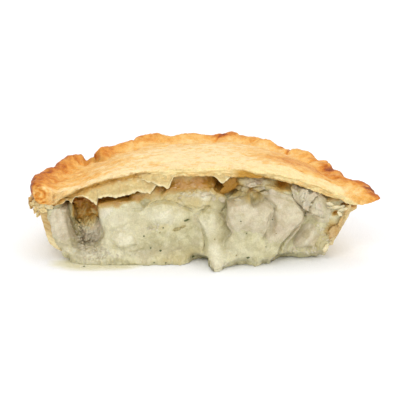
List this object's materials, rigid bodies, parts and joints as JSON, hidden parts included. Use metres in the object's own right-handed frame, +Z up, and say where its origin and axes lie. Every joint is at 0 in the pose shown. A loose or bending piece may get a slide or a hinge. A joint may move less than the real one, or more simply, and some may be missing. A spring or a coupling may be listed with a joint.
{
  "type": "chicken pot pie half",
  "caption": "Half of a small round chicken pot pie with a crimped domed lid, cut to show chicken chunks in a cream sauce.",
  "frame": {"origin": "under the middle of the half pie, on the surface that it rests on", "axes": "+X along the cut to the right as seen from the cut side, -Y out of the cut face, +Z up"},
  "size_m": [0.1276, 0.0728, 0.0369],
  "materials": {
    "lid_pastry": null,
    "case_pastry": "baked pastry case, pale and flaky, browned outside",
    "cream_sauce": "thick pale cream sauce with small green herb flecks, soft wet gloss",
    "chicken": "cooked chicken breast, fibrous, coated with sauce in places"
  },
  "bodies": {
    "root": {"pastry_case": "case_pastry", "pastry_lid": "lid_pastry", "cream_filling": "cream_sauce", "chicken_left": "chicken", "chicken_left_low": "chicken", "chicken_slab_left": "chicken", "chicken_middle_low": "chicken", "chicken_top": "chicken", "chicken_crumbled": "chicken", "chicken_right_slab": "chicken", "chicken_front_slab": "chicken", "chicken_upper_right": "chicken", "chicken_lower_right": "chicken"}
  },
  "joints": []
}
